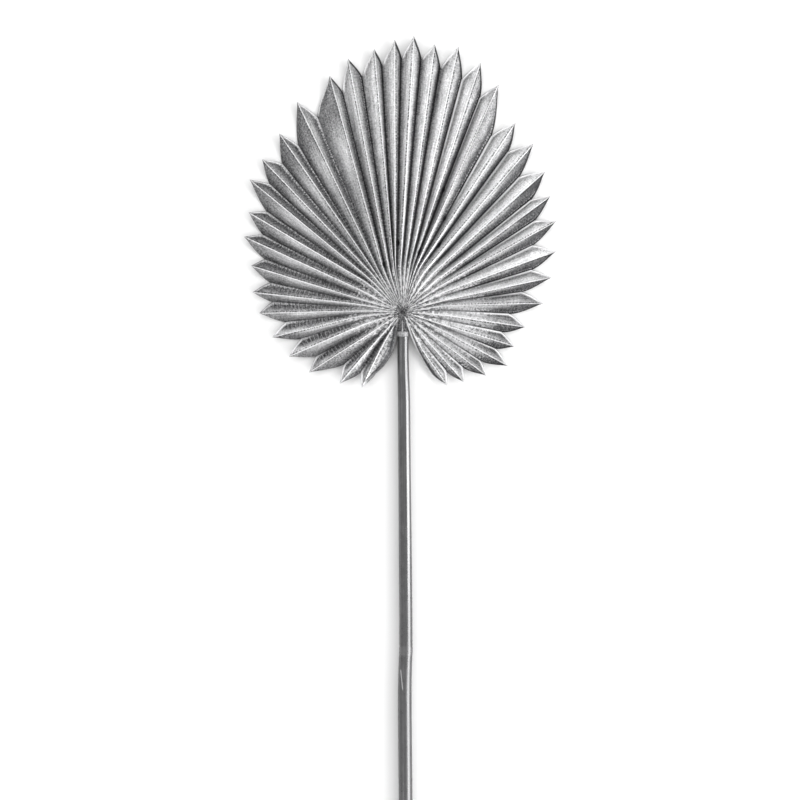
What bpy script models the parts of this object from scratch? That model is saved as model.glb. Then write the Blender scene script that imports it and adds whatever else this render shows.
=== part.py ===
"""A fan palm leaf with an antiqued silver finish, cut with its stem and lying face up on a surface.

The pleated blade and the boss that it spreads from are one piece. The top of the round stem sits in a
shallow socket in the boss. Metres, +Z up: the blade's tip points along +Y and the stem along -Y.
Lengths are worked out from the hub, the point that every pleat runs to, and the finished leaf is then
moved so that the origin is at the centre of its footprint, on the surface it lies on.
"""

import math

import bmesh
import bpy
from mathutils import Vector

MM = 0.001

# One row for each segment of the blade, clockwise as seen from above: the bearing of its tip and the
# tip's reach from the hub, then the bearing of the groove on its clockwise side and the reach at which
# that groove splits. Bearings are degrees from +Y, reaches are millimetres. In place of a groove, the
# last segment has the blade's free edge, whose shoulder is given.
SEGMENTS = (
    (-152, 64, -146, 54),
    (-139, 71, -132.5, 58),
    (-123, 83, -117.5, 72),
    (-111.5, 91, -105, 78),
    (-101, 99, -95, 87),
    (-90.5, 107, -85.5, 97),
    (-82.5, 113, -77.5, 101),
    (-73, 118, -69, 110),
    (-64.5, 131, -61, 119),
    (-57, 137, -53.5, 126),
    (-49, 151, -46, 138),
    (-42.5, 155, -39, 143),
    (-34.5, 162, -32, 147),
    (-26.5, 176, -23.5, 159),
    (-17, 185, -15, 170),
    (-12, 194, -9.5, 179),
    (-6, 198, -4.5, 185),
    (-1.5, 204, 0, 190),
    (2.5, 207, 4.5, 190),
    (7, 202, 9, 185),
    (12, 203, 14.5, 180),
    (17.5, 196, 20, 171),
    (23, 185, 27, 148),
    (31, 165, 33.5, 144),
    (38, 160, 41, 134),
    (45.5, 150, 49, 128),
    (52, 141, 55.5, 121),
    (59.5, 134, 63, 110),
    (68.5, 124, 72, 102),
    (77, 115, 80.5, 91),
    (86.5, 106, 91, 80),
    (97, 93, 101.5, 76),
    (107, 88, 111.5, 75),
    (117, 89, 122, 69),
    (127, 79, 132.5, 61),
    (138.5, 70, 143.5, 55),
    (148.5, 65, 155, 52),
)
# The blade's two free edges, beside the stem: bearing and reach, from the hub to the last shoulder.
FIRST_EDGE = ((-158, 5), (-163, 18), (-166, 30), (-162, 42), (-157, 50))
LAST_EDGE = ((158, 5), (160, 18), (159, 30), (157, 42), (155, 52))

BLADE_THICKNESS = 1.2 * MM
HUB_HEIGHT = 7.0 * MM  # the blade's top face at the hub
FALL_REACH = 100 * MM  # from the hub to where the grooves touch the surface
HUB_REACH = 5 * MM  # the pleats start here, round a flat centre
PLEAT_SLOPE = 0.75  # a ridge's height over its grooves, as a share of half the segment's width
PLEAT_MOST = 6 * MM
PLEAT_ROUNDING = 1.4  # 1 is a sharp fold, 2 a round one
TIP_LIFT = 2 * MM
TIP_BULGE = 0.035  # how far a tip's edge bows out, as a share of its length
ACROSS = 4  # faces across a segment
BODY_ROWS = 5  # rows from the hub to the grooves' splits
TIP_ROWS = 3  # rows from there to the tip

STEM_AXIS = 5.1 * MM  # height of the boss's and the stem top's axis
STEM_END = -473 * MM
SOCKET_MOUTH = -18.5 * MM
SOCKET_DEPTH = 5.2 * MM
SOCKET_RADIUS = 4.4 * MM
CLEARANCE = 0.3 * MM
# The stem from its top to its cut end: distance below the hub, sideways drift and radius, in
# millimetres.
STEM_COURSE = (
    (18, 0.8, 4.1),
    (36, 0.8, 4.3),
    (66, 1.5, 4.6),
    (126, 2.0, 4.7),
    (186, 2.5, 4.9),
    (246, 2.9, 5.0),
    (282, 2.1, 5.15),
    (321, 2.3, 5.2),
    (366, 2.7, 5.2),
    (420, 2.9, 5.3),
    (473, 2.6, 5.3),
)
STEM_STEP = 18 * MM
STEM_ROUNDNESS = 4  # bevel resolution: 12 sides
BOSS_STEPS = 32

SILVER = (0.56, 0.56, 0.57)
STEM_GREY = (0.30, 0.30, 0.31)


def clear_scene():
    for obj in list(bpy.data.objects):
        bpy.data.objects.remove(obj, do_unlink=True)


def new_collection(name):
    made = bpy.data.collections.new(name)
    bpy.context.scene.collection.children.link(made)
    return made


def metal_paint(name, color, roughness):
    material = bpy.data.materials.new(name)
    material.use_nodes = True
    shader = material.node_tree.nodes["Principled BSDF"]
    shader.inputs["Base Color"].default_value = (*color, 1)
    shader.inputs["Metallic"].default_value = 0.8
    shader.inputs["Roughness"].default_value = roughness
    return material


def on_plan(bearing, reach):
    """The point on the plan at this bearing and reach from the hub."""
    angle = math.radians(bearing)
    return Vector((reach * math.sin(angle), reach * math.cos(angle)))


def between(points, at):
    """Reads a smooth curve through rows of numbers whose first number rises, at one value of it."""
    last = len(points) - 1
    i = next((n for n in range(last) if at <= points[n + 1][0]), last - 1)
    before, start, end, after = (points[max(0, min(last, i + n))] for n in (-1, 0, 1, 2))
    span = end[0] - start[0]
    t = (at - start[0]) / span
    values = []
    for k in range(1, len(start)):
        rise_in = (end[k] - before[k]) / max(end[0] - before[0], span) * span
        rise_out = (after[k] - start[k]) / max(after[0] - start[0], span) * span
        ease = t * t * (3 - 2 * t)
        value = start[k] + (end[k] - start[k]) * ease
        value += rise_in * t * (1 - t) ** 2 - rise_out * t * t * (1 - t)
        values.append(value)
    return values


def groove_height(reach):
    """The top face's height along a groove: it falls from the hub to the surface it rests on."""
    fall = min(reach / FALL_REACH, 1)
    share = (1 + math.cos(math.pi * fall)) / 2
    return BLADE_THICKNESS + (HUB_HEIGHT - BLADE_THICKNESS) * share


def groove(bearing, split):
    """The plan points of one straight groove, from the hub to its split."""
    steps = [row / BODY_ROWS for row in range(BODY_ROWS + 1)]
    return [on_plan(bearing, HUB_REACH + (split - HUB_REACH) * s) for s in steps]


def free_edge(course):
    """The plan points of one of the blade's edges beside the stem, from the hub to its shoulder."""
    by_reach = [(reach * MM, bearing) for bearing, reach in course]
    reaches = [point.length for point in groove(0, by_reach[-1][0])]
    return [on_plan(between(by_reach, reach)[0], reach) for reach in reaches]


def tip_edge(split, tip, outward):
    """The plan points from a groove's split to the tip, bowed a little outward."""
    chord = tip - split
    side = Vector((-chord.y, chord.x)) * outward * TIP_BULGE
    steps = [row / TIP_ROWS for row in range(1, TIP_ROWS + 1)]
    return [split + chord * s + side * 4 * s * (1 - s) for s in steps]


def segment_points(bearing, tip_reach, left, right):
    """Rows of points across one segment, from the hub to its tip."""
    tip = on_plan(bearing, tip_reach)
    shoulder = (left[-1].length + right[-1].length) / 2
    left = left + tip_edge(left[-1], tip, 1)
    right = right + tip_edge(right[-1], tip, -1)
    rows = []
    for n, (a, b) in enumerate(zip(left, right)):
        body = min(n / BODY_ROWS, 1)
        past = max(n - BODY_ROWS, 0) / TIP_ROWS
        reach = HUB_REACH + (shoulder - HUB_REACH) * body + (tip_reach - shoulder) * past
        ridge = on_plan(bearing, reach)
        height = min(PLEAT_SLOPE * (b - a).length / 2, PLEAT_MOST)
        points = []
        for k in range(ACROSS + 1):
            u = 2 * k / ACROSS - 1
            plan = ridge.lerp(a if u < 0 else b, abs(u))
            rise = height * (1 - abs(u) ** PLEAT_ROUNDING) + TIP_LIFT * past
            points.append(Vector((plan.x, plan.y, groove_height(plan.length) + rise)))
        rows.append(points)
    return rows


def add_face(mesh, corners):
    """Adds a face, leaving out a corner that repeats the one before it."""
    kept = [v for n, v in enumerate(corners) if v is not corners[n - 1]]
    if len(kept) > 2:
        mesh.faces.new(kept)


def pleated_sheet(mesh):
    """The blade's top face, one segment after another round the hub, each sharing a groove."""
    center = mesh.verts.new((0, 0, HUB_HEIGHT))
    line = free_edge(FIRST_EDGE)
    shared = []
    for row in SEGMENTS:
        bearing, tip_reach, next_bearing, split = row
        next_line = free_edge(LAST_EDGE) if row is SEGMENTS[-1] else groove(next_bearing, split * MM)
        rows = segment_points(bearing, tip_reach * MM, line, next_line)
        tip = mesh.verts.new(rows[-1][0])
        grid = []
        for n, points in enumerate(rows[:-1]):
            start = shared[n] if n < len(shared) else mesh.verts.new(points[0])
            grid.append([start] + [mesh.verts.new(point) for point in points[1:]])
        grid.append([tip] * (ACROSS + 1))
        grid.insert(0, [center] * (ACROSS + 1))
        for near, far in zip(grid, grid[1:]):
            for k in range(ACROSS):
                add_face(mesh, (near[k], far[k], far[k + 1], near[k + 1]))
        shared = [row[-1] for row in grid[1 : BODY_ROWS + 2]]
        line = next_line


def thicken(mesh, thickness):
    """Closes an open sheet into a shell: the sheet again lower down, and a wall round the rim."""
    rim = [edge for edge in mesh.edges if edge.is_boundary]
    faces = list(mesh.faces)
    drop = Vector((0, 0, thickness))
    below = {v: mesh.verts.new(v.co - drop) for v in list(mesh.verts)}
    for face in faces:
        mesh.faces.new([below[v] for v in reversed(face.verts)])
    for edge in rim:
        a, b = edge.verts
        mesh.faces.new((a, b, below[b], below[a]))
    bmesh.ops.recalc_face_normals(mesh, faces=mesh.faces[:])


def blade(collection, material):
    mesh = bmesh.new()
    pleated_sheet(mesh)
    thicken(mesh, BLADE_THICKNESS)
    data = bpy.data.meshes.new("leaf_blade")
    mesh.to_mesh(data)
    mesh.free()
    data.materials.append(material)
    obj = bpy.data.objects.new("leaf_blade", data)
    collection.objects.link(obj)
    return obj


def boss(collection, material):
    """The round boss behind the hub, turned about the stem's line, with the socket in its lower end."""
    socket_end = SOCKET_MOUTH + SOCKET_DEPTH
    collar = SOCKET_MOUTH + 3.5 * MM
    profile = (
        (0, 3.5 * MM),
        (1.6 * MM, 0),
        (2.6 * MM, -4 * MM),
        (4.2 * MM, -9 * MM),
        (4.85 * MM, -12.5 * MM),
        (4.85 * MM, collar),
        (5.05 * MM, collar - 0.3 * MM),
        (5.05 * MM, SOCKET_MOUTH),
        (SOCKET_RADIUS, SOCKET_MOUTH),
        (SOCKET_RADIUS, socket_end),
        (0, socket_end),
    )
    data = bpy.data.meshes.new("boss")
    edges = [(n, n + 1) for n in range(len(profile) - 1)]
    data.from_pydata([(radius, 0, along) for radius, along in profile], edges, [])
    data.materials.append(material)
    obj = bpy.data.objects.new("boss", data)
    collection.objects.link(obj)
    turn = obj.modifiers.new("turn", "SCREW")
    turn.steps = turn.render_steps = BOSS_STEPS
    turn.use_merge_vertices = True
    turn.merge_threshold = 0.00001
    obj.rotation_euler.x = -math.pi / 2
    obj.location.z = STEM_AXIS
    obj.hide_render = True
    obj.display_type = "WIRE"
    return obj


def stem(collection, material):
    """The round stem, whose lowest line runs down from the socket to the surface at the cut end."""
    top = SOCKET_MOUTH + SOCKET_DEPTH - CLEARANCE
    count = round((top - STEM_END) / STEM_STEP)
    curve = bpy.data.curves.new("stem", "CURVE")
    curve.dimensions = "3D"
    curve.bevel_depth = MM
    curve.bevel_resolution = STEM_ROUNDNESS
    curve.use_fill_caps = True
    spline = curve.splines.new("POLY")
    spline.points.add(count)
    end_radius = STEM_COURSE[-1][2] * MM
    for n, point in enumerate(spline.points):
        y = top + (STEM_END - top) * n / count
        drift, radius = between(STEM_COURSE, max(-y / MM, STEM_COURSE[0][0]))
        drift *= min(1, (top - y) / -SOCKET_MOUTH)
        z = STEM_AXIS + (end_radius - STEM_AXIS) * n / count
        point.co = (drift * MM, y, z, 1)
        point.radius = radius
    curve.materials.append(material)
    obj = bpy.data.objects.new("stem", curve)
    collection.objects.link(obj)
    return obj


def join(obj, other):
    union = obj.modifiers.new("join", "BOOLEAN")
    union.operation = "UNION"
    union.object = other


def set_down(parts, moved):
    """Moves everything so that the origin is under the middle of the parts, on the surface."""
    bpy.context.view_layer.update()
    graph = bpy.context.evaluated_depsgraph_get()
    corners = []
    for part in parts:
        seen = part.evaluated_get(graph)
        corners += [seen.matrix_world @ v.co for v in seen.to_mesh().vertices]
        seen.to_mesh_clear()
    low, high = ([pick(c[axis] for c in corners) for axis in range(3)] for pick in (min, max))
    shift = Vector(((low[0] + high[0]) / 2, (low[1] + high[1]) / 2, low[2]))
    for obj in moved:
        obj.location -= shift


def main():
    clear_scene()
    parts = new_collection("fan_palm_leaf")
    helpers = new_collection("helpers")
    silver = metal_paint("antiqued_silver", SILVER, 0.4)
    leaf = blade(parts, silver)
    base = boss(helpers, silver)
    join(leaf, base)
    stalk = stem(parts, metal_paint("stem_grey", STEM_GREY, 0.3))
    set_down((leaf, stalk), (leaf, base, stalk))


main()
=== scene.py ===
"""The looks of a fan palm leaf finished in antiqued silver, lying face up on a pale floor.

The blade, the boss that it spreads from and the stem are modelled here in full and stand for the plain
CAD pieces. Metres, +Z up, in the CAD's frame. Bearings are degrees clockwise from +Y, seen from above.
"""

import math
import random

import bpy
import numpy as np
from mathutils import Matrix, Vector, noise


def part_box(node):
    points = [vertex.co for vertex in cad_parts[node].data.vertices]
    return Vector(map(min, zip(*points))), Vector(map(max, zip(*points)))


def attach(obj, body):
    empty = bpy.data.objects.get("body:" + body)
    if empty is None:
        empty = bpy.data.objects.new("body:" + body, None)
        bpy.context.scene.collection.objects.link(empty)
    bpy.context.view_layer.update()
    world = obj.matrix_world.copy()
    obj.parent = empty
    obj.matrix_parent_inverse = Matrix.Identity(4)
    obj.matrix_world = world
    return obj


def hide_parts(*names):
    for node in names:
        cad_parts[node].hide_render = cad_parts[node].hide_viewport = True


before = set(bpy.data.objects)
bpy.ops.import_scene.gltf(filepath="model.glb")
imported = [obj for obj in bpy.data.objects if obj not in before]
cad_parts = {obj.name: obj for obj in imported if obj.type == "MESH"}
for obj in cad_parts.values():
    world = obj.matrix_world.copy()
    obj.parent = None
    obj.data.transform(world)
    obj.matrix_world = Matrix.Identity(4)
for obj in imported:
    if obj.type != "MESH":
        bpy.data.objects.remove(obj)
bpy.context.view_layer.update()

MM = 0.001

# One row for each segment of the blade, clockwise: the bearing of its tip and the tip's reach from the
# hub, how far clockwise of the hub its ridge aims, then the bearing and the reach of the split on its
# clockwise side. Degrees and millimetres.
SEGMENTS = (
    (-152, 64, 2.5, -146, 54),
    (-139, 71, 0.5, -132.5, 58),
    (-123, 83, -1, -117.5, 72),
    (-111.5, 91, 3, -105, 78),
    (-101, 99, 4.5, -95, 87),
    (-90.5, 107, 1.5, -85.5, 97),
    (-82.5, 113, 2, -77.5, 101),
    (-73, 118, 0, -69, 110),
    (-64.5, 131, 2, -61, 119),
    (-57, 137, 5.5, -53.5, 126),
    (-49, 151, 3.8, -46, 138),
    (-42.5, 155, 3.5, -39, 143),
    (-34.5, 162, 0.5, -32, 147),
    (-26.5, 176, -2.5, -23.5, 159),
    (-17, 185, -5, -15, 170),
    (-12, 194, -3.5, -9.5, 179),
    (-6, 198, -3, -4.5, 185),
    (-1.5, 204, -5, 0, 190),
    (2.5, 207, -3, 4.5, 190),
    (7, 202, -1.8, 9, 185),
    (12, 203, -1.5, 14.5, 180),
    (17.5, 196, -2.8, 20, 171),
    (23, 185, -4.5, 27, 148),
    (31, 165, -7.5, 33.5, 144),
    (38, 160, -7, 41, 134),
    (45.5, 150, -6, 49, 128),
    (52, 141, -4, 55.5, 121),
    (59.5, 134, -3, 63, 110),
    (68.5, 124, -3.2, 72, 102),
    (77, 115, -1.7, 80.5, 91),
    (86.5, 106, -4, 91, 80),
    (97, 93, -2, 101.5, 76),
    (107, 88, 0.5, 111.5, 75),
    (117, 89, -2.5, 122, 69),
    (127, 79, 0.5, 132.5, 61),
    (138.5, 70, 0.6, 143.5, 55),
    (148.5, 65, 4, 155, 52),
)
# The blade's two free edges beside the stem: bearing and reach, from the hub to the last shoulder.
FIRST_EDGE = ((-158, 1), (-164, 9), (-168, 18), (-167.5, 30), (-162, 42), (-157, 50))
LAST_EDGE = ((158, 1), (159, 9), (160, 18), (159, 30), (157, 42), (155, 52))

# Painted light and shade on a segment's flanks, over its silver and dark patina, by its bearing: a flank
# that faced the light is painted brighter and one turned from it darker. For the anticlockwise flank and
# then for the
# clockwise one: its brightness, its brightness at the tip and the share of the way to the groove where the
# dark patina and painted shade start. Then their own brightness, and the share of the anticlockwise
# flank's brightness that is left near the hub.
FLANK_LIGHT_AND_PATINA = (
    (-152, 0.20, 0.36, 0.90, 0.26, 0.42, 0.70, 0.07, 1.0),
    (-139, 0.26, 0.18, 0.60, 0.24, 0.55, 0.50, 0.08, 1.0),
    (-123, 0.24, 0.24, 0.80, 0.32, 0.60, 0.45, 0.08, 1.0),
    (-111, 0.54, 0.31, 1.15, 0.45, 0.75, 0.35, 0.08, 0.9),
    (-101, 0.86, 0.20, 1.10, 0.28, 0.60, 0.35, 0.09, 0.95),
    (-90, 0.72, 0.34, 1.10, 0.28, 0.32, 0.38, 0.10, 0.95),
    (-80, 0.60, 0.32, 1.05, 0.19, 0.17, 0.42, 0.10, 0.8),
    (-65, 0.54, 0.26, 0.95, 0.17, 0.17, 0.50, 0.09, 0.55),
    (-40, 0.60, 0.20, 0.85, 0.18, 0.24, 0.50, 0.09, 0.5),
    (-20, 0.56, 0.15, 0.80, 0.28, 0.42, 0.42, 0.09, 0.6),
    (0, 0.54, 0.34, 0.85, 0.50, 0.44, 0.44, 0.08, 0.6),
    (15, 0.68, 0.56, 0.95, 0.38, 0.30, 0.44, 0.07, 0.6),
    (31, 0.76, 0.86, 1.05, 0.25, 0.18, 0.50, 0.07, 0.65),
    (45, 0.84, 0.85, 1.10, 0.30, 0.03, 0.42, 0.08, 0.75),
    (60, 0.84, 0.95, 1.10, 0.33, 0.06, 0.42, 0.08, 0.75),
    (75, 0.58, 0.56, 1.10, 0.36, 0.12, 0.44, 0.08, 0.8),
    (90, 0.38, 0.31, 1.10, 0.48, 0.13, 0.62, 0.07, 0.9),
    (110, 0.26, 0.38, 1.10, 0.52, 0.10, 0.72, 0.06, 0.9),
    (130, 0.26, 0.62, 1.10, 0.40, 0.07, 0.72, 0.06, 0.9),
    (150, 0.42, 0.60, 1.10, 0.12, 0.10, 1.20, 0.10, 0.9),
)
# How far pale frosting covers the blade from the hub, by bearing, in millimetres.
FROSTING = (
    (-155, 12),
    (-110, 32),
    (-85, 36),
    (-60, 30),
    (-10, 26),
    (20, 34),
    (60, 46),
    (90, 60),
    (120, 64),
    (155, 28),
)
FROSTING_ENDS = (0.6, 1.4)  # shares of that reach between which the frosting thins out
FREE_EDGE_FROSTING = 0.3

# Values that change with a segment's bearing: the bearings, then the values there. Where there are two,
# the first is for the anticlockwise flank and the second for the clockwise one.
# Painted light and shade on the flanks: where one starts to brighten, and how its painted shade deepens
# towards the groove and beside its lip.
INNER_RISE = ((-20, 0), (0.45, 0.3))  # where the anticlockwise flank starts to brighten, along it
FLANK_FALL = (((-20, 10), (0.4, 0)), ((0,), (0.3,)))  # how much darker it gets towards the groove
LIP_SHADE = (((-10, 10), (0.2, 0.85)), ((0,), (0,)))  # how dark it is beside its lip
# How much nearer the groove its patina and painted shade start on the outer part than near the hub.
SHADE_AND_PATINA_LATER = (((-20, 10), (0.2, 0)), ((-35, -20, 20, 40, 70, 90), (0, 0.2, 0.2, 0, 0, -0.45)))
SEAM_SHADOW_WIDER = ((-20, 0, 40, 60), (0, 0.5, 0.5, 0))  # millimetres
# How strong the painted highlights on the lips on clockwise sides are, by bearing.
LIP_HIGHLIGHT_STRENGTH = ((-100, -90, -70, -57, -26), (0.9, 0.35, 0.35, 0.7, 0.8))  # of the lips on clockwise sides

# The bearings between which a flank takes its tip's brightness from just before its shoulder.
SHOULDER_TONES = ((-15, 180), (-15, 35))
LONG_LIPS_FROM = 15  # past this bearing the lips are bright all the way along

# Shares of the way along a segment, from the hub to its tip, or across it, from its ridge to its groove.
INNER_RISE_LENGTH = 0.35
OUTER_PART = (0.65, 0.88)
TIP_TONE_FROM = 0.68
TIP_TONE_BEFORE_SHOULDER = 0.04
TIP_TONE_LENGTH = 0.2
BESIDE_LIP_ACROSS = (0.5, 0.88)
BESIDE_LIP_ALONG = (0.3, 0.8)
FLANK_MIDDLE = 0.3
BEFORE_SPLIT = 0.1

# Shares of the way from a split to the tip.
LIP_SHADE_ENDS = (0.1, 0.7)
SHADE_AND_PATINA_CLEARS = (0, 0.6)
TIP_SHADE_AND_PATINA_LATER = 0.6
SEAM_SHADOW_ENDS = (0, 0.1)
TIP_EDGE_STARTS = (0, 0.12)
TIP_EDGE_ENDS = (0.8, 1)

# The painted highlights and shadows beside the edges, in millimetres from the edge.
LIP_HIGHLIGHT_WIDTH = (0.8, 1.6)
TIP_EDGE_SHADE = (0.1, 0.4)
SEAM_SHADOW = (0.7, 1.7)
# How dark the painted shadows in the seams on the left are, and the last bearing with them on its tips.
FAINT_SEAM_SHADOW = 0.35  # how dark the seams on the left are
TIP_SEAM_SHADOW_LAST = 130  # the last bearing with a dark seam on its tips
RIM_HIGHLIGHT = (1.0, 1.3)
# The brightness of a free edge's painted highlight on its rim, then the distance in and the half width of
# the painted shade of the fold beside it.
FREE_EDGE_HIGHLIGHT_AND_SHADE = ((0.15, 2.6, 0.8), (1, 1.7, 0.3))

# The dark pits at the inner ends of some grooves: bearing and reach.
PITS = ((-20.9, 38), (-3.2, 52), (15.9, 47), (18.6, 97), (24.3, 77), (28.9, 58))
PIT_WIDTH = 1.3 * MM
PIT_LENGTH = 2.4 * MM
PIT_DEPTH = 0.8 * MM

HUB_REACH = 1.0 * MM
HUB_HEIGHT = 7.0 * MM
FLOOR_HEIGHT = 1.2 * MM  # the blade's top face in its outer grooves
FALL_REACH = 100 * MM
LEAN_REACH = 40 * MM  # the ridges bend from the hub out to here
SHEET = 0.8 * MM
PLEAT_SLOPE = 0.75
PLEAT_MOST = 6 * MM
PLEAT_VARIES = (0.92, 1.06)
PLEAT_AT_HUB = 0.5  # the share of a pleat's height that it has beside the hub
PLEAT_GROWS = (8 * MM, 50 * MM)
ROUNDING = (1.42, 1.58)  # 1 for a sharp ridge with flat flanks, more for a rounder one
ROW_STEP = 3.0 * MM
TIP_ROWS_LEAST = 7
TIP_ROWS_DENSER = 1.5
# Where the columns of faces lie between a ridge and its groove, as shares of the way.
COLUMNS = (0, 0.03, 0.07, 0.14, 0.25, 0.38, 0.52, 0.66, 0.78, 0.88, 0.94, 1)
TIP_WIDTH = 0.25 * MM
TIP_FALL = 0.25
TIP_BULGE = (0.035, 0.06)
TIP_BULGE_NEAR = 1.6  # 1 for a bulge half way out, more for one nearer the split
TIP_BULGE_SCALE = 5
TIP_CURL = (0.3, 1.8)  # millimetres
TIP_SHARPER = 0.6
VEIN_HEIGHT = 0.2 * MM
VEIN_WIDTH = 0.3 * MM
VEIN_GROWS = (0.02, 0.2)
EDGES_LOOSE = (0.3, 0.85)  # along a segment, where its edges come free of its neighbours'
LIP_CHANGE = -20  # the lip is on the clockwise side left of this bearing and on the other side past it
LIP_HEIGHT = 0.9 * MM
LIP_OVERLAP = 0.5 * MM
LIP_FROM = 0.78
OVERLAP_FROM = 0.6
COVERED_DROP = 0.25 * MM
COVERED_FROM = 0.8
UNEVEN = 0.12 * MM
UNEVEN_SCALE = 260
UNEVEN_STEP = 3.1  # sets each segment's unevenness apart from the next one's
BLADE_SEED = 11

# The boss, from its point above the hub to its rim and back into the socket: the way out along +Y and
# the radius in millimetres, then 1 on the pale rim.
BOSS_OUTLINE = (
    (3.5, 0.3, 0),
    (2, 0.9, 0),
    (0, 1.7, 0),
    (-4, 2.7, 0),
    (-9, 3.8, 0),
    (-12.5, 4.2, 0),
    (-14.6, 4.3, 0),
    (-14.9, 4.65, 1),
    (-15.4, 4.75, 1),
    (-16.5, 4.65, 1),
    (-18.1, 4.5, 1),
    (-18.5, 4.4, 1),
    (-18.5, 4.2, 1),
    (-14, 4.2, 0),
    (-14, 0.2, 0),
)
BOSS_DRIFT = 0.4 * MM
BOSS_LENGTH = 15
# The vein on the boss: the way out along +Y, its height above the stem's axis and its radius.
VEIN_COURSE = (
    (-4, 2.4, 0.2),
    (-7, 3.0, 0.4),
    (-10, 3.7, 0.5),
    (-13, 4.1, 0.55),
    (-14.8, 4.3, 0.5),
    (-15.4, 4.4, 0.2),
)
VEIN_DRIFT = 0.3 * MM
BOSS_SIDES = 48
VEIN_SIDES = 12

# The stem: distance below the hub, sideways drift and radius, in millimetres.
STEM_COURSE = (
    (15, 0.7, 4.1),
    (18, 0.8, 4.1),
    (36, 0.8, 4.3),
    (66, 1.5, 4.6),
    (126, 2.0, 4.7),
    (186, 2.5, 4.9),
    (246, 2.9, 5.0),
    (282, 2.1, 5.15),
    (321, 2.3, 5.2),
    (366, 2.7, 5.2),
    (420, 2.9, 5.3),
    (473, 2.6, 5.3),
)
STEM_AXIS = 5.1 * MM
STEM_END_AXIS = 5.3 * MM
STEM_SIDES = 40
STEM_STEP = 2  # millimetres
JOINT_PLACE = 254
STEM_ROUND = 5.0  # the stem's radius for its finish, in millimetres
STEM_MIDDLE = (120.0, 260.0)  # where the upper part's finish turns into the lower part's
JOINT_LENGTH = 4
JOINT_SWELL = 0.1
JOINT_DRIFT = 0.15
STEM_SWELL = 0.05
SWELL_SCALE = 0.03
SWELL_PLACE = (0.3, 0.7)
# Where the painted highlight on the slanting crease below the joint runs.
CREASE_HIGHLIGHT_TOP = 268.0
CREASE_HIGHLIGHT_END = 282.5
CREASE_HIGHLIGHT_SLANT = -0.12
CREASE_HIGHLIGHT_SIDE = 3.3  # millimetres left of the stem's middle

CAMERA_LENS = 100
CAMERA_FROM_HUB = (-1.5 * MM, -66 * MM, 1.672)

DARKEST = (0.010, 0.010, 0.012, 1)
BRIGHTEST = (0.97, 0.97, 0.98, 1)
CHANCE_SPREAD = 97.0  # sets each segment's texture apart from the others'
HUB_MIDDLE = (-10 * MM, 20 * MM)  # across the leaf, where its left side turns into its right


def mesh_piece(name, points, faces, material, numbers=()):
    """A smooth-shaded mesh object with one float attribute for each (name, values)."""
    mesh = bpy.data.meshes.new(name)
    mesh.from_pydata([tuple(p) for p in points], [], [tuple(f) for f in faces])
    for label, values in numbers:
        mesh.attributes.new(label, "FLOAT", "POINT").data.foreach_set("value", values)
    mesh.shade_smooth()
    mesh.materials.append(material)
    obj = bpy.data.objects.new(name, mesh)
    bpy.context.scene.collection.objects.link(obj)
    return obj


def eased(value, low, high):
    """0 below low and 1 above high, with a smooth rise between."""
    share = np.clip((value - low) / (high - low), 0, 1)
    return share * share * (3 - 2 * share)


def on_plan(bearing, reach):
    angle = np.radians(bearing)
    return np.stack([reach * np.sin(angle), reach * np.cos(angle)], axis=-1)


# ---------------------------------------------------------------------------------------------
# The blade


def hub_place():
    """The hub's place in the frame, from the CAD blade's box and the tips that touch its sides."""
    low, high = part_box("leaf_blade")
    tips = on_plan(np.array([s[0] for s in SEGMENTS]), np.array([s[1] for s in SEGMENTS]) * MM)
    return Vector((high.x - tips[:, 0].max(), high.y - tips[:, 1].max(), 0))


def groove_height(reach):
    """The height of the grooves' top face, which falls from the hub outwards."""
    fall = np.minimum(reach / FALL_REACH, 1)
    return FLOOR_HEIGHT + (HUB_HEIGHT - FLOOR_HEIGHT) * (1 + np.cos(np.pi * fall)) / 2


def leaning(bearing, reach, end, lean):
    """The plan points of a line that aims lean millimetres clockwise of the hub, bent to start from it."""
    aside = lean * MM * (1 - reach / end) * eased(reach, 0, LEAN_REACH)
    return on_plan(bearing, reach) + aside[:, None] * on_plan(bearing + 90, 1)


def side_line(bearing, split, lean, course, body):
    """The plan points of one side of a segment, from the hub to its split."""
    reach = HUB_REACH + (split - HUB_REACH) * body
    if course:
        bearings, reaches = zip(*course)
        return on_plan(np.interp(reach / MM, reaches, bearings), reach)
    return leaning(bearing, reach, split, lean)


def tip_line(split, tip, outward, past, bulge):
    """The plan points from a split to the tip: a little full beside the split, straight at the tip."""
    chord = tip - split
    side = np.array([-chord[1], chord[0]]) * outward * bulge
    bow = past * (1 - past) ** TIP_BULGE_NEAR * TIP_BULGE_SCALE
    return split + chord * past[:, None] + side * bow[:, None]


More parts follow.
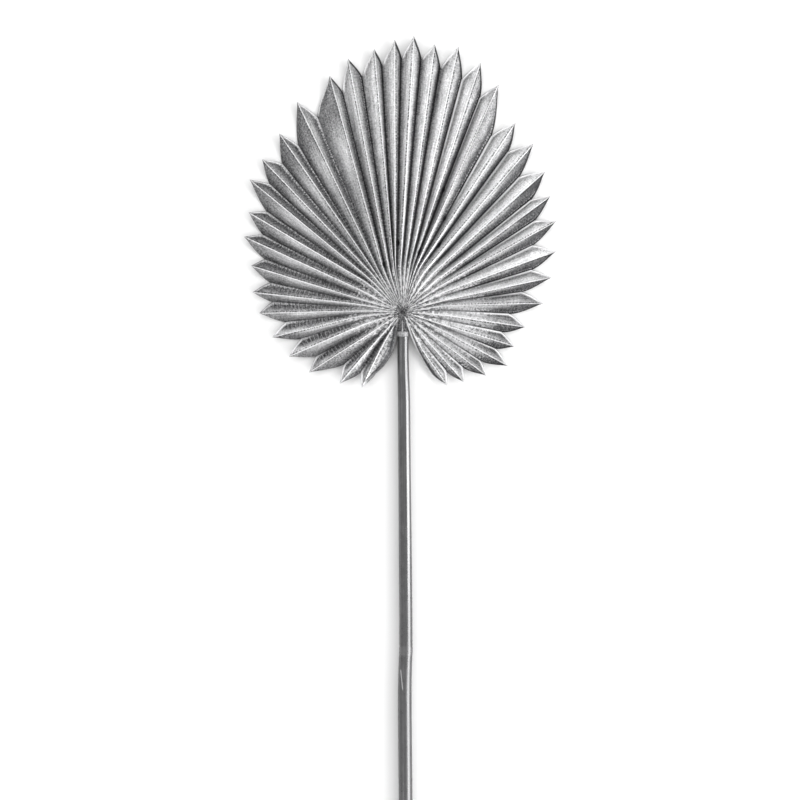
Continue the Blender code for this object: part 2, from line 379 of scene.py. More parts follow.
class Segment:
    """One segment of the blade: its sides, its ridge, the heights of its top face and its finish.

    Side 0 and flank 0 are anticlockwise of the ridge, and side 1 and flank 1 clockwise of it.
    """

    def __init__(self, n, rng):
        bearing, reach, lean = SEGMENTS[n][:3]
        splits = (SEGMENTS[n - 1][3:] if n else FIRST_EDGE[-1], SEGMENTS[n][3:])
        shoulder = (splits[0][1] * MM + splits[1][1] * MM) / 2
        reach = reach * MM
        body = np.linspace(0, 1, round((shoulder - HUB_REACH) / ROW_STEP) + 1)
        tip_rows = max(TIP_ROWS_LEAST, round((reach - shoulder) / ROW_STEP * TIP_ROWS_DENSER))
        past = np.linspace(0, 1, tip_rows + 1)[1:]
        self.bearing = bearing
        self.lip_side = 1 if bearing < LIP_CHANGE else 0
        self.free_edge = {0: 0, len(SEGMENTS) - 1: 1}.get(n)
        self.tip_share = np.concatenate([body * 0, past])
        ridge_reach = HUB_REACH + (shoulder - HUB_REACH) * np.concatenate([body, past * 0 + 1])
        ridge_reach += (reach - shoulder) * self.tip_share
        self.along = ridge_reach / reach
        self.shoulder_along = shoulder / reach
        self.loose = eased(self.along, *EDGES_LOOSE)
        self.ridge = leaning(bearing, ridge_reach, reach, lean)
        self.sides = self.side_lines(n, splits, body, past, rng.uniform(*TIP_BULGE))
        self.fold_up(ridge_reach, len(body) - 1, rng)

    def side_lines(self, n, splits, body, past, bulge):
        """The plan points of both sides, from the hub past their splits to the tip."""
        bearing, reach, lean = SEGMENTS[n][:3]
        tip = on_plan(bearing, reach * MM)
        across = np.array([tip[1], -tip[0]]) / (reach * MM)
        sides = []
        for k, (at, split) in enumerate(splits):
            neighbour = SEGMENTS[(n + (-1, 1)[k]) % len(SEGMENTS)]
            course = (FIRST_EDGE, LAST_EDGE)[k] if self.free_edge == k else None
            line = side_line(at, split * MM, (lean + neighbour[2]) / 2, course, body)
            edge = tip_line(line[-1], tip, 1 - 2 * k, past, bulge)
            edge[-1] = tip + across * (2 * k - 1) * TIP_WIDTH / 2
            sides.append(np.concatenate([line, edge]))
        return sides

    def fold_up(self, ridge_reach, last_body_row, rng):
        """How high the ridge stands over the groove and over the tip, and how this segment varies."""
        half = np.linalg.norm(self.sides[1] - self.sides[0], axis=1) / 2
        self.fold = np.minimum(PLEAT_SLOPE * half, PLEAT_MOST) * rng.uniform(*PLEAT_VARIES)
        self.fold *= PLEAT_AT_HUB + (1 - PLEAT_AT_HUB) * eased(ridge_reach, *PLEAT_GROWS)
        self.crest = np.where(self.tip_share > 0, self.fold[last_body_row], self.fold)
        self.crest *= 1 - TIP_FALL * self.tip_share
        self.curl = rng.uniform(*TIP_CURL) * MM
        self.rounding = rng.uniform(*ROUNDING)
        self.chance = rng.random()

    def column(self, k, a):
        """The points at share a of the way from the ridge to side k, and the numbers for the finish."""
        edge = self.sides[k] - self.ridge
        width = np.linalg.norm(edge, axis=1)
        is_lip = k == self.lip_side
        grown = LIP_OVERLAP * self.loose * eased(a, OVERLAP_FROM, 1) * (1 - self.tip_share) * is_lip
        plan = self.ridge + edge * (a + grown / np.maximum(width, TIP_WIDTH))[:, None]
        reach = np.linalg.norm(plan, axis=1)
        pit = pits(plan)
        z = self.height(k, a, width, reach) - pit * PIT_DEPTH
        way = 2 * k - 1
        numbers = (way * a * width / MM, 0 * z + way * a, reach / MM, self.tip_share)
        numbers += (0 * z + self.chance, *self.finish(k, a, width), self.frosting(k, reach), pit)
        return np.column_stack([plan, z]), numbers

    def height(self, k, a, width, reach):
        """The top face's height: the ridge and its vein, the turned lip and the tip's curl."""
        rounding = 1 + (self.rounding - 1) * (1 - TIP_SHARPER * self.tip_share)
        drop = self.fold * a**rounding
        vein = VEIN_HEIGHT * np.exp(-((a * width / VEIN_WIDTH) ** 2)) * eased(self.along, *VEIN_GROWS)
        if k == self.lip_side:
            turned = LIP_HEIGHT * self.loose * eased(a, LIP_FROM, 1) * (1 - self.tip_share**2)
        else:
            turned = -COVERED_DROP * self.loose * eased(a, COVERED_FROM, 1) * (1 - self.tip_share)
        return groove_height(reach) + self.crest - drop + vein + turned + self.curl * self.tip_share**2

    def frosting(self, k, reach):
        """1 under the frosting round the hub and 0 beyond it."""
        frosted = np.interp(self.bearing, *zip(*FROSTING)) * MM
        frosted *= FREE_EDGE_FROSTING if k == self.free_edge else 1
        return 1 - eased(reach, frosted * FROSTING_ENDS[0], frosted * FROSTING_ENDS[1])

    def here(self, table):
        """Reads a table of bearings and values at this segment's bearing."""
        return np.interp(self.bearing, *table)

    def finish(self, k, a, width):
        """The flank's brightness with its painted light, where its patina and painted shade start and how
        bright they are, and the lip's number.
        """
        bearings, *columns = zip(*FLANK_LIGHT_AND_PATINA)
        row = [self.here((bearings, values)) for values in columns]
        tone, tip_tone, shade_and_patina_from = row[3 * k : 3 * k + 3]
        shade_and_patina_tone, inner_share = row[6:]
        if k == 0:
            rise = self.here(INNER_RISE)
            risen = eased(self.along, rise, rise + INNER_RISE_LENGTH)
            tone = tone * (inner_share + (1 - inner_share) * risen)
        tip_start = self.tip_tone_start(k)
        tones = tone + (tip_tone - tone) * eased(self.along, tip_start, tip_start + TIP_TONE_LENGTH)
        beside_lip = eased(a, *BESIDE_LIP_ACROSS) * eased(self.along, *BESIDE_LIP_ALONG)
        beside_lip = beside_lip * (1 - eased(self.tip_share, *LIP_SHADE_ENDS))
        # Painted shade: darker towards the groove, and beside the lip.
        tones = tones * (1 - self.here(FLANK_FALL[k]) * (a - FLANK_MIDDLE))
        tones = tones * (1 - self.here(LIP_SHADE[k]) * beside_lip)
        starts = shade_and_patina_from + self.here(SHADE_AND_PATINA_LATER[k]) * eased(self.along, *OUTER_PART)
        starts = starts + TIP_SHADE_AND_PATINA_LATER * eased(self.tip_share, *SHADE_AND_PATINA_CLEARS)
        return tones, starts, 0 * tones + shade_and_patina_tone, self.lip_highlight_and_shadow(k, (1 - a) * width / MM)

    def tip_tone_start(self, k):
        """Where along the segment a flank starts to take its tip's brightness."""
        first, last = SHOULDER_TONES[k]
        if first < self.bearing < last:
            return self.shoulder_along - TIP_TONE_BEFORE_SHOULDER
        return TIP_TONE_FROM

    def lip_highlight_and_shadow(self, k, to_edge):
        """1 on a lip's painted highlight down to -1 in a seam's painted shadow, by the distance to the
        edge in millimetres.
        """
        if k == self.free_edge:
            rim, fold, spread = FREE_EDGE_HIGHLIGHT_AND_SHADE[k]
            return rim * (1 - eased(to_edge, *RIM_HIGHLIGHT)) - 0.95 * np.exp(-(((to_edge - fold) / spread) ** 2))
        on_tip = eased(self.tip_share, *TIP_EDGE_STARTS) * (1 - eased(self.tip_share, *TIP_EDGE_ENDS))
        if k != self.lip_side:
            return -self.seam_shadow(to_edge, on_tip)
        if k == 0:
            strength = self.loose * np.maximum(0.8 * on_tip, 1.0 * (self.bearing > LONG_LIPS_FROM))
        else:
            shoulder = self.shoulder_along
            near_split = 0.7 * eased(self.along, shoulder - BEFORE_SPLIT, shoulder)
            strength = self.here(LIP_HIGHLIGHT_STRENGTH) * np.maximum(on_tip, near_split)
        # A painted dark shade along the tips' edges.
        tip_edge_shade = 0.5 * (1 - eased(to_edge, *TIP_EDGE_SHADE)) * on_tip
        return (1 - eased(to_edge, *LIP_HIGHLIGHT_WIDTH)) * strength - tip_edge_shade

    def seam_shadow(self, to_edge, on_tip):
        """1 in the painted shadow of the seam where this flank goes under its neighbour's lip."""
        body = 1 - eased(self.tip_share, *SEAM_SHADOW_ENDS)
        body = body * (FAINT_SEAM_SHADOW if self.bearing < LIP_CHANGE else 1)
        wider = self.here(SEAM_SHADOW_WIDER)
        dark = 1 - eased(to_edge, SEAM_SHADOW[0] + wider, SEAM_SHADOW[1] + wider)
        return dark * np.maximum(body, on_tip * (LIP_CHANGE < self.bearing < TIP_SEAM_SHADOW_LAST))


def pits(plan):
    """1 in the middle of a pit and 0 away from all of them, at plan points."""
    depth = np.zeros(len(plan))
    for bearing, reach in PITS:
        out = on_plan(bearing, 1)
        offset = plan - out * reach * MM
        along, across = offset @ out, offset @ on_plan(bearing + 90, 1)
        depth += np.exp(-((along / PIT_LENGTH) ** 2) - (across / PIT_WIDTH) ** 2)
    return depth


def segment_grid(n, rng):
    """The top face of one segment: points (rows, columns, 3) and the numbers its finish reads."""
    segment = Segment(n, rng)
    columns = [segment.column(0, a) for a in COLUMNS[:0:-1]]
    columns += [segment.column(1, a) for a in COLUMNS]
    grid = np.stack([points for points, _ in columns], axis=1)
    numbers = [np.stack(values, axis=1) for values in zip(*(numbers for _, numbers in columns))]
    return grid, numbers


def closed_sheet(grid, first):
    """Points and faces of a thin shell under a grid of top points, numbered from first."""
    rows, columns = grid.shape[:2]
    under = grid - np.array([0, 0, SHEET])
    under[..., 2] = np.maximum(under[..., 2], 0)
    points = np.concatenate([grid.reshape(-1, 3), under.reshape(-1, 3)])
    index = np.arange(rows * columns).reshape(rows, columns) + first
    a, b, c, d = index[:-1, :-1], index[1:, :-1], index[1:, 1:], index[:-1, 1:]
    top = np.stack([a, b, c, d], axis=-1).reshape(-1, 4)[:, ::-1]
    down = rows * columns
    ring = np.concatenate([index[:, 0], index[-1, 1:], index[-2::-1, -1], index[0, -2:0:-1]])
    after = np.roll(ring, -1)
    wall = np.stack([ring, ring + down, after + down, after], axis=-1)
    faces = np.concatenate([top, top[:, ::-1] + down, wall[:, ::-1]])
    return points, faces


LABELS = ("across_mm", "pleat", "reach_mm", "tip_share", "chance")
LABELS += ("flank_tone_and_light", "shade_and_patina_from", "shade_and_patina_tone", "lip_highlight_and_shadow", "frosting", "pit")


def palm_blade(material):
    """All the segments, each a closed sheet of its own that overlaps the next one a little."""
    rng = random.Random(BLADE_SEED)
    all_points, all_faces = [], []
    all_numbers = [[] for _ in LABELS]
    count = 0
    for n in range(len(SEGMENTS)):
        grid, numbers = segment_grid(n, rng)
        for point in grid.reshape(-1, 3):
            x, y = point[:2] * UNEVEN_SCALE
            point[2] += UNEVEN * noise.noise(Vector((x, y, n * UNEVEN_STEP)))
        points, faces = closed_sheet(grid, count)
        count += len(points)
        all_points.append(points)
        all_faces.append(faces)
        for kept, values in zip(all_numbers, numbers):
            kept.append(np.tile(values.ravel(), 2))
    numbers = [(label, np.concatenate(v).astype(np.float32)) for label, v in zip(LABELS, all_numbers)]
    points = np.concatenate(all_points) + np.array(hub_place())
    return mesh_piece("palm_blade", points, np.concatenate(all_faces), material, numbers)


# ---------------------------------------------------------------------------------------------
# The boss and the stem


def tube(name, course, sides, material, labels=()):
    """A round body through rows of (x, y, z, radius, ...): rings about the Y axis with closed ends."""
    course = np.array(course, float)
    turns = np.linspace(0, 2 * math.pi, sides, endpoint=False)
    ring = np.stack([np.sin(turns), 0 * turns, np.cos(turns)], axis=-1)
    points = course[:, None, :3] + ring[None] * course[:, 3, None, None]
    index = np.arange(len(course) * sides).reshape(len(course), sides)
    after = np.roll(index, -1, axis=1)
    wall = np.stack([index[:-1], index[1:], after[1:], after[:-1]], axis=-1).reshape(-1, 4)
    faces = [tuple(f) for f in wall] + [tuple(index[0]), tuple(index[-1][::-1])]
    numbers = []
    for k, label in enumerate(labels):
        numbers.append((label, np.repeat(course[:, 4 + k], sides).astype(np.float32)))
    numbers.append(("turn", np.tile(turns, len(course)).astype(np.float32)))
    return mesh_piece(name, points.reshape(-1, 3), faces, material, numbers)


def boss_course():
    """The boss's rings, drifting aside to meet the stem."""
    hub = hub_place()
    course = []
    for y, radius, rim in BOSS_OUTLINE:
        drift = BOSS_DRIFT * min(1, max(0, -y / BOSS_LENGTH))
        course.append((hub.x + drift, hub.y + y * MM, STEM_AXIS, radius * MM, rim))
    return course


def vein_course():
    """The fine vein down the boss's front, from the hub to the rim, painted pale as its highlight."""
    hub = hub_place()
    x = hub.x + VEIN_DRIFT
    # The last 1 gives the vein the boss's pale rim paint, a painted highlight along it.
    return [(x, hub.y + y * MM, STEM_AXIS + z * MM, radius * MM, 1) for y, z, radius in VEIN_COURSE]


def stem_course():
    """The stem's rings, read through a smooth curve, with a joint and small swellings."""
    hub = hub_place()
    below, drifts, radii = (np.array(row) for row in zip(*STEM_COURSE))
    course = []
    for d in np.append(np.arange(below[0], below[-1], STEM_STEP), below[-1]):
        drift, radius = (smooth_read(below, row, d) for row in (drifts, radii))
        joint = math.exp(-(((d - JOINT_PLACE) / JOINT_LENGTH) ** 2))
        swell = noise.noise(Vector((d * SWELL_SCALE, *SWELL_PLACE)))
        radius += JOINT_SWELL * joint + STEM_SWELL * swell
        drift += JOINT_DRIFT * joint
        z = STEM_AXIS + (STEM_END_AXIS - STEM_AXIS) * (d - below[0]) / (below[-1] - below[0])
        course.append((hub.x + drift * MM, hub.y - d * MM, max(z, radius * MM), radius * MM, d))
    return course


def smooth_read(xs, ys, x):
    """Reads a row of numbers at x through a Catmull-Rom curve."""
    i = int(np.clip(np.searchsorted(xs, x) - 1, 0, len(xs) - 2))
    t = (x - xs[i]) / (xs[i + 1] - xs[i])
    p0, p1, p2, p3 = (ys[min(max(i + n, 0), len(ys) - 1)] for n in (-1, 0, 1, 2))
    return p1 + 0.5 * t * (p2 - p0 + t * (2 * p0 - 5 * p1 + 4 * p2 - p3 + t * (3 * (p1 - p2) + p3 - p0)))


# ---------------------------------------------------------------------------------------------
# Finishes


class Recipe:
    """Puts nodes into one tree, a material's or a group's, and hands back their sockets."""

    def __init__(self, tree):
        self.tree = tree

    def feed(self, socket, value):
        if isinstance(value, bpy.types.NodeSocket):
            self.tree.links.new(value, socket)
        else:
            socket.default_value = value

    def node(self, kind, inputs=(), **settings):
        made = self.tree.nodes.new(kind)
        for name, value in settings.items():
            setattr(made, name, value)
        for name, value in dict(inputs).items():
            self.feed(made.inputs[name], value)
        return made

    def number(self, label):
        return self.node("ShaderNodeAttribute", attribute_name=label).outputs["Fac"]

    def math(self, operation, a, b=0.0):
        return self.node("ShaderNodeMath", {0: a, 1: b}, operation=operation).outputs[0]

    def times(self, first, *others):
        for other in others:
            first = self.math("MULTIPLY", first, other)
        return first

    def plus(self, a, b):
        return self.math("ADD", a, b)

    def minus(self, a, b):
        return self.math("SUBTRACT", a, b)

    def wave(self, value):
        return self.math("SINE", value)

    def place(self, x=0.0, y=0.0, z=0.0):
        return self.node("ShaderNodeCombineXYZ", {0: x, 1: y, 2: z}).outputs[0]

    def fade(self, value, low, high, start=0.0, end=1.0):
        """Goes smoothly from start to end while the value goes from low to high."""
        inputs = {"Value": value, "From Min": low, "From Max": high, "To Min": start, "To Max": end}
        made = self.node("ShaderNodeMapRange", inputs, interpolation_type="SMOOTHSTEP")
        return made.outputs[0]

    def near(self, value, middle, inner, outer):
        """1 within inner of the middle and 0 beyond outer."""
        return self.fade(self.math("ABSOLUTE", self.minus(value, middle)), inner, outer, 1.0, 0.0)

    def cloud(self, place, scale=1.0, detail=2.0, roughness=0.5):
        inputs = {"Vector": place, "Scale": scale, "Detail": detail, "Roughness": roughness}
        return self.node("ShaderNodeTexNoise", inputs).outputs["Fac"]

    def blend(self, share, a, b):
        """a where share is 0 and b where it is 1."""
        made = self.node("ShaderNodeMix", {0: share, 2: a, 3: b}, data_type="FLOAT")
        return made.outputs[0]

    def bump(self, height, strength, distance):
        inputs = {"Height": height, "Strength": strength, "Distance": distance}
        return self.node("ShaderNodeBump", inputs).outputs["Normal"]

    def silver(self, tone):
        """The grey of this tone, a little cool in the darks."""
        made = self.node("ShaderNodeValToRGB", {"Fac": tone})
        made.color_ramp.elements[0].color = DARKEST
        made.color_ramp.elements[1].color = BRIGHTEST
        return made.outputs["Color"]

    def patina(self, group, place, blotch, speck, speck_share):
        """The group's outputs for these sizes in millimetres and this share of specks."""
        inputs = {"Place": place, "Blotch Size": blotch, "Speck Size": speck, "Speck Share": speck_share}
        return self.node("ShaderNodeGroup", node_tree=group, inputs=inputs).outputs


def patina_group():
    """Blotches, specks and grain of an aged silver finish, at places given in millimetres."""
    group = bpy.data.node_groups.new("silver_patina", "ShaderNodeTree")
    group.interface.new_socket("Place", in_out="INPUT", socket_type="NodeSocketVector")
    for label, default in (("Blotch Size", 8.0), ("Speck Size", 0.8), ("Speck Share", 0.2)):
        made = group.interface.new_socket(label, in_out="INPUT", socket_type="NodeSocketFloat")
        made.default_value = default
    for label in ("Blotches", "Specks", "Grain"):
        group.interface.new_socket(label, in_out="OUTPUT", socket_type="NodeSocketFloat")
    mix = Recipe(group)
    given = mix.node("NodeGroupInput").outputs
    blotches = mix.cloud(given["Place"], mix.math("DIVIDE", 1.0, given["Blotch Size"]), 3, 0.55)
    fine = mix.cloud(given["Place"], mix.math("DIVIDE", 1.0, given["Speck Size"]), 1, 0.5)
    speck_edge = mix.minus(0.78, mix.times(given["Speck Share"], 0.45))
    results = mix.node("NodeGroupOutput").inputs
    mix.feed(results["Blotches"], mix.fade(blotches, 0.35, 0.65))
    mix.feed(results["Specks"], mix.fade(fine, speck_edge, mix.plus(speck_edge, 0.06)))
    mix.feed(results["Grain"], mix.cloud(given["Place"], 0.8, 3, 0.7))
    return group


def new_finish(name):
    material = bpy.data.materials.new(name)
    material.use_nodes = True
    return material, material.node_tree, material.node_tree.nodes["Principled BSDF"]


class LeafRecipe(Recipe):
    """The steps of the leaf's finish, and the places and masks that they share.

    A tone is a brightness from 0 to 1. Each step takes the tone so far and gives back the next.
    """

    def __init__(self, tree, group):
        super().__init__(tree)
        self.group = group
        self.across = self.number("across_mm")
        self.reach = self.number("reach_mm")
        self.pleat = self.number("pleat")
        self.frosting = self.number("frosting")
        self.share = self.math("ABSOLUTE", self.pleat)
        self.chance = self.times(self.number("chance"), CHANCE_SPREAD)
        self.own = self.node("ShaderNodeTexCoord").outputs["Object"]
        self.across_leaf = self.node("ShaderNodeSeparateXYZ", {0: self.own}).outputs["X"]
        self.spot = self.place(self.across, self.reach, self.chance)
        self.aged = self.patina(group, self.spot, 9.0, 1.3, 0.5)
        self.grain = self.fade(self.aged["Grain"], 0.30, 0.70)
        drawn_out = self.place(self.times(self.across, 1.6), self.times(self.reach, 0.06), self.chance)
        self.strands = self.minus(self.cloud(drawn_out, 1.0, 2, 0.6), 0.5)
        self.drawn = self.place(self.times(self.pleat, 1.6), self.times(self.reach, 0.4), self.chance)

    def flanks(self):
        """The flanks with their painted light and shade, darkening into the mottled grooves of patina and
        painted shade.
        """
        blotched = self.times(self.minus(self.aged["Blotches"], 0.5), 0.1)
        wander = self.plus(blotched, self.times(self.minus(self.grain, 0.5), 0.08))
        depth = self.minus(self.plus(self.share, wander), self.number("shade_and_patina_from"))
        self.groove = self.times(self.fade(depth, -0.32, 0.2), self.blend(self.frosting, 1.0, 0.15))
        self.in_groove = self.fade(self.groove, 0.5, 0.95)
        streaked = self.plus(1.0, self.times(self.strands, 1.5))
        beside_ridge = self.fade(self.share, 0.0, 0.3, 0.85, 1.0)
        flank = self.times(self.number("flank_tone_and_light"), streaked, beside_ridge)
        tone = self.blend(self.groove, flank, self.number("shade_and_patina_tone"))
        on_tip = self.times(self.number("tip_share"), 0.3)
        rough = self.plus(self.fade(tone, 0.05, 0.5, 1.6, 0.6), on_tip)
        unevenness = self.times(self.minus(self.grain, 0.42), rough)
        return self.times(tone, self.plus(1.0, unevenness))

    def groove_marks(self, tone):
        """Light specks in the grooves and short rungs across them, and rows of light dots farther out."""
        speckled = self.fade(self.across_leaf, 0.01, 0.05, 1.0, 0.45)
        self.specks = self.times(self.aged["Specks"], self.in_groove, speckled)
        tone = self.blend(self.times(self.specks, 0.5), tone, 0.4)
        sway = self.times(self.cloud(self.own, 40.0, 1), 16.0)
        rungs = self.fade(self.wave(self.plus(self.times(self.reach, 2.1), sway)), 0.6, 1.0)
        half_way = self.fade(self.reach, 28.0, 38.0)
        half_way = self.times(half_way, self.fade(self.reach, 78.0, 110.0, 1.0, 0.0))
        self.rungs = self.times(rungs, self.in_groove, half_way, self.fade(self.aged["Grain"], 0.36, 0.5))
        tone = self.blend(self.times(self.rungs, speckled, 0.8), tone, 0.42)
        beat = self.plus(self.times(self.reach, 2.7), self.times(self.grain, 5.0))
        dots = self.times(self.fade(self.wave(beat), 0.0, 0.6), self.near(self.pleat, 0.84, 0.03, 0.1))
        dots = self.times(dots, self.in_groove, self.fade(self.reach, 60.0, 90.0))
        return self.blend(self.times(dots, 0.9), tone, 0.6)

    def crumbs(self, tone):
        """Crumbs caught in the grooves where the frosting ends."""
        caught = self.patina(self.group, self.spot, 3.0, 1.9, 0.6)["Specks"]
        fringe = self.times(self.fade(self.frosting, 0.02, 0.25), self.fade(self.share, 0.4, 0.6))
        fringe = self.times(fringe, self.fade(self.reach, 52.0, 74.0, 1.0, 0.0))
        return self.blend(self.times(fringe, caught, 0.9), tone, 0.9)

    def frosted_middle(self, tone):
        """Pale frosting round the hub, brighter on the right, with dark marks left in it."""
        frost = self.plus(self.cloud(self.spot, 0.75, 3, 0.75), self.times(self.frosting, 0.26))
        frost = self.times(self.fade(frost, 0.62, 0.72), self.fade(self.frosting, 0.0, 0.3))
        frost_tone = self.fade(self.across_leaf, *HUB_MIDDLE, 0.62, 0.76)
        frost_tone = self.plus(frost_tone, self.times(self.pleat, 0.06))
        tone = self.blend(self.times(frost, 0.9), tone, frost_tone)
        marks = self.fade(self.cloud(self.drawn, 1.0, 3, 0.7), 0.47, 0.51)
        self.marks = self.times(marks, self.fade(self.reach, 10.0, 60.0, 1.0, 0.0))
        return self.blend(self.times(self.marks, 0.9), tone, self.blend(self.grain, 0.02, 0.1))

    def wide_silver(self, tone):
        """Silver that lies wide along the ridges near the hub."""
        wide = self.fade(self.share, 0.28, 0.5, 1.0, 0.0)
        wide = self.times(wide, self.fade(self.reach, 40.0, 95.0, 0.6, 0.0))
        wide = self.times(wide, self.fade(self.reach, 10.0, 22.0), self.fade(self.grain, 0.1, 0.6))
        return self.blend(wide, tone, self.fade(self.across_leaf, *HUB_MIDDLE, 0.64, 0.74))

    def ridge_line(self, tone):
        """A fine bright line along each ridge, a painted highlight on its crest and vein, with a row of
        dark dots on one side of it.
        """
        line = self.near(self.across, -0.1, 0.3, 0.6)
        line = self.math("MINIMUM", line, self.fade(self.share, 0.2, 0.45, 1.0, 0.0))
        ridge_highlight_strength = self.times(self.fade(self.reach, 8.0, 30.0, 0.6, 1.0), self.blend(self.grain, 0.6, 1.0))
        tone = self.blend(self.times(line, ridge_highlight_strength), tone, 0.96)
        beat = self.plus(self.times(self.reach, 2.6), self.times(self.grain, 6.0))
        dots = self.times(self.fade(self.wave(beat), -0.3, 0.5), self.fade(self.aged["Grain"], 0.7, 0.56))
        side = self.fade(self.number("chance"), 0.3, 0.35, -0.85, 0.85)
        dots = self.times(dots, self.near(self.across, side, 0.3, 0.6))
        self.dots = self.times(dots, self.fade(self.reach, 20.0, 50.0))
        return self.blend(self.dots, tone, 0.03)

    def edges(self, tone):
        """The painted highlights on the lips and the painted shadows in the seams beside them."""
        lip_highlight_and_shadow = self.number("lip_highlight_and_shadow")
        lip_highlight = self.times(self.math("MAXIMUM", lip_highlight_and_shadow, 0.0), self.fade(self.aged["Grain"], 0.22, 0.36))
        tone = self.blend(lip_highlight, tone, 0.92)
        seam_shadow = self.times(self.fade(lip_highlight_and_shadow, -0.9, -0.2, 0.92, 0.0), self.blend(self.frosting, 1.0, 0.5))
        return self.blend(seam_shadow, tone, 0.02)

    def pits_and_hub(self, tone):
        """The black pits, and the ragged dark star at the hub with light flecks in it."""
        tone = self.blend(self.fade(self.number("pit"), 0.2, 0.6), tone, 0.01)
        ragged = self.plus(self.reach, self.times(self.cloud(self.drawn, 1.0, 2, 0.6), -22.0))
        flecked = self.blend(self.fade(self.aged["Grain"], 0.5, 0.6), 0.02, 0.3)
        return self.blend(self.fade(ragged, -6.5, -4.0, 0.9, 0.0), tone, flecked)

    def relief(self):
        """The height of the finish's fine texture: strands, grain and light marks up, dark ones down."""
        relief = self.plus(self.times(self.strands, 0.6), self.times(self.grain, 0.35))
        relief = self.plus(relief, self.times(self.plus(self.rungs, self.specks), 0.3))
        return self.minus(relief, self.times(self.plus(self.dots, self.marks), 0.6))


def leaf_silver(group):
    """Silver over dark patina with painted light and shade: painted highlights on the ridges and lips,
    dark mottled grooves of patina and painted shade, a frosted hub.
    """
    material, tree, shader = new_finish("leaf_silver")
    mix = LeafRecipe(tree, group)
    tone = mix.flanks()
    tone = mix.groove_marks(tone)
    tone = mix.crumbs(tone)
    tone = mix.frosted_middle(tone)
    tone = mix.wide_silver(tone)
    tone = mix.ridge_line(tone)
    tone = mix.edges(tone)
    tone = mix.pits_and_hub(tone)
    mix.feed(shader.inputs["Base Color"], mix.silver(tone))
    shader.inputs["Metallic"].default_value = 0.85
    mix.feed(shader.inputs["Roughness"], mix.blend(mix.groove, mix.blend(mix.grain, 0.34, 0.44), 0.6))
    mix.feed(shader.inputs["Normal"], mix.bump(mix.relief(), 0.6, 0.3 * MM))
    return material


def boss_silver(group):
    """The dark, speckled boss with a paler rim."""
    material, tree, shader = new_finish("boss_silver")
    mix = Recipe(tree)
    own = mix.node("ShaderNodeTexCoord").outputs["Object"]
    place = mix.node("ShaderNodeVectorMath", {0: own, 1: (1 / MM,) * 3}, operation="MULTIPLY")
    aged = mix.patina(group, place.outputs[0], 2.5, 0.9, 0.55)
    dark = mix.blend(aged["Blotches"], 0.02, 0.07)
    dark = mix.blend(mix.times(aged["Specks"], 0.4), dark, 0.4)
    pale = mix.blend(mix.fade(aged["Grain"], 0.35, 0.65), 0.22, 0.5)
    mix.feed(shader.inputs["Base Color"], mix.silver(mix.blend(mix.number("rim"), dark, pale)))
    shader.inputs["Metallic"].default_value = 0.8
    mix.feed(shader.inputs["Roughness"], mix.blend(aged["Grain"], 0.35, 0.6))
    mix.feed(shader.inputs["Normal"], mix.bump(aged["Grain"], 0.5, 0.4 * MM))
    return material


def stem_silver(group):
    """Smooth dark silver grey with faint streaks, a painted highlight down one side, a paler joint and a
    painted highlight on a slanting crease below it.
    """
    material, tree, shader = new_finish("stem_silver")
    mix = Recipe(tree)
    below, turn = mix.number("below_mm"), mix.number("turn")
    round_mm = mix.times(mix.math("SINE", turn), STEM_ROUND)
    front_mm = mix.times(mix.math("COSINE", turn), STEM_ROUND)
    aged = mix.patina(group, mix.place(round_mm, below, front_mm), 7.0, 1.2, 0.2)
    streaks = mix.cloud(mix.place(round_mm, mix.times(below, 0.05), front_mm), 0.8, 2, 0.5)
    tone = mix.plus(mix.blend(streaks, 0.09, 0.15), mix.times(aged["Blotches"], 0.02))

    # The painted highlight down one side: softer, dimmer and nearer the front on the lower part
    stem_highlight_middle = mix.fade(below, *STEM_MIDDLE, 0.62, 0.42)
    stem_highlight = mix.near(turn, stem_highlight_middle, mix.fade(below, *STEM_MIDDLE, 0.2, 0.02), 0.4)
    tone = mix.blend(stem_highlight, tone, mix.fade(below, *STEM_MIDDLE, 0.3, 0.24))
    speckled = mix.times(aged["Specks"], mix.fade(below, 30.0, 70.0, 0.7, 0.12))
    tone = mix.blend(speckled, tone, 0.3)

    # The paler band round the joint, and the painted highlight on one slanting crease below it, also
    # bumped
    band = mix.times(mix.near(below, JOINT_PLACE, 2.0, 5.0), aged["Grain"])
    tone = mix.blend(mix.times(band, 0.5), tone, 0.3)
    slant = mix.plus(mix.times(mix.minus(below, CREASE_HIGHLIGHT_TOP), CREASE_HIGHLIGHT_SLANT), CREASE_HIGHLIGHT_SIDE)
    from_crease_highlight = mix.math("ABSOLUTE", mix.plus(round_mm, slant))
    crease_highlight = mix.fade(from_crease_highlight, 0.15, 0.5, 1.0, 0.0)
    crease_highlight = mix.times(crease_highlight, mix.fade(below, CREASE_HIGHLIGHT_TOP - 1, CREASE_HIGHLIGHT_TOP + 1))
    crease_highlight = mix.times(crease_highlight, mix.fade(below, CREASE_HIGHLIGHT_END - 1.5, CREASE_HIGHLIGHT_END + 1.5, 1.0, 0.0))
    crease_highlight = mix.times(crease_highlight, mix.fade(front_mm, 0.0, 0.5))
    tone = mix.blend(mix.times(crease_highlight, 0.9), tone, 0.6)

    mix.feed(shader.inputs["Base Color"], mix.silver(tone))
    shader.inputs["Metallic"].default_value = 0.75
    roughness = mix.plus(mix.fade(below, *STEM_MIDDLE, 0.2, 0.27), mix.times(aged["Blotches"], 0.06))
    mix.feed(shader.inputs["Roughness"], roughness)
    relief = mix.plus(mix.times(streaks, 0.5), mix.times(crease_highlight, 0.6))
    mix.feed(shader.inputs["Normal"], mix.bump(relief, 0.2, 0.2 * MM))
    return material


# ---------------------------------------------------------------------------------------------
# Floor, light and camera


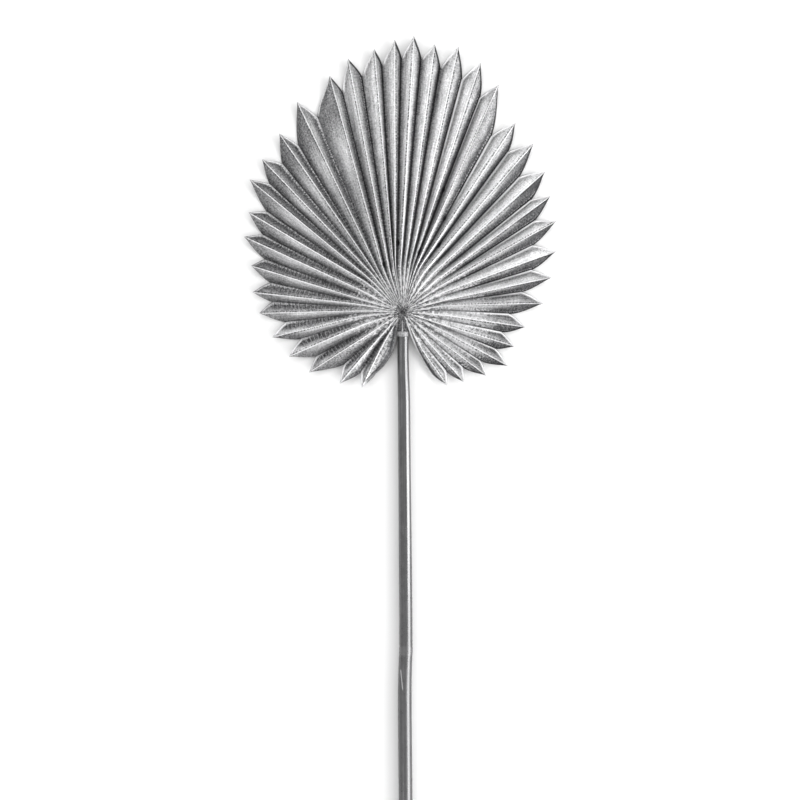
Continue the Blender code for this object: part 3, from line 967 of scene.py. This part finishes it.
def floor():
    size = 4.0
    corners = [(-size, -size, 0), (size, -size, 0), (size, size, 0), (-size, size, 0)]
    material, _, shader = new_finish("pale_floor")
    shader.inputs["Base Color"].default_value = (0.93, 0.93, 0.93, 1)
    shader.inputs["Roughness"].default_value = 0.9
    return mesh_piece("floor", corners, [(0, 1, 2, 3)], material)


def softbox(name, place, target, size, power):
    """A rectangular area light at a place, turned to face a target."""
    light = bpy.data.lights.new(name, "AREA")
    light.shape = "RECTANGLE"
    light.size, light.size_y = size
    light.energy = power
    obj = bpy.data.objects.new(name, light)
    obj.location = place
    obj.rotation_euler = (Vector(target) - Vector(place)).to_track_quat("-Z", "Y").to_euler()
    bpy.context.scene.collection.objects.link(obj)
    return obj


def studio(hub):
    world = bpy.data.worlds.new("studio")
    world.use_nodes = True
    world.node_tree.nodes["Background"].inputs["Color"].default_value = (1, 1, 1, 1)
    world.node_tree.nodes["Background"].inputs["Strength"].default_value = 0.68
    bpy.context.scene.world = world
    leaf = hub + Vector((0, 0.06, 0))
    for name, place, size, power in (
        ("left_softbox", (-0.95, 0.35, 0.95), (0.6, 0.6), 2.8),
        ("right_softbox", (0.95, 0.4, 0.95), (0.6, 0.6), 2.2),
        ("back_softbox", (0.1, 1.0, 0.9), (0.8, 0.6), 3.4),
        ("near_left_softbox", (-0.75, -0.95, 1.05), (0.6, 0.5), 2.5),
        ("near_right_softbox", (0.7, -0.95, 1.05), (0.6, 0.5), 1.9),
    ):
        softbox(name, hub + Vector(place), leaf, size, power)
    stem_middle = hub + Vector((0, -0.45, 0))
    softbox("stem_softbox", stem_middle + Vector((1.0, 0, 0.47)), stem_middle, (1.0, 0.85), 10)


def overhead_camera(hub):
    """Straight above the leaf, with the blade and most of the stem in view."""
    data = bpy.data.cameras.new("overhead")
    data.lens = CAMERA_LENS
    data.sensor_width = 36
    camera = bpy.data.objects.new("overhead", data)
    camera.location = hub + Vector(CAMERA_FROM_HUB)
    bpy.context.scene.collection.objects.link(camera)
    bpy.context.scene.camera = camera


def main():
    group = patina_group()
    hub = hub_place()
    blade = palm_blade(leaf_silver(group))
    boss_finish = boss_silver(group)
    boss = tube("leaf_boss", boss_course(), BOSS_SIDES, boss_finish, ("rim",))
    vein = tube("boss_vein", vein_course(), VEIN_SIDES, boss_finish, ("rim",))
    stem = tube("palm_stem", stem_course(), STEM_SIDES, stem_silver(group), ("below_mm",))
    for piece, node, slot in (
        (blade, "leaf_blade", "silver_leaf"),
        (boss, "leaf_blade", "silver_leaf"),
        (vein, "leaf_blade", "silver_leaf"),
        (stem, "stem", "silver_grey_stem"),
    ):
        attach(piece, "root")
        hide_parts(node)
    floor()
    studio(hub)
    overhead_camera(hub)
    bpy.context.scene.view_settings.view_transform = "Standard"


main()
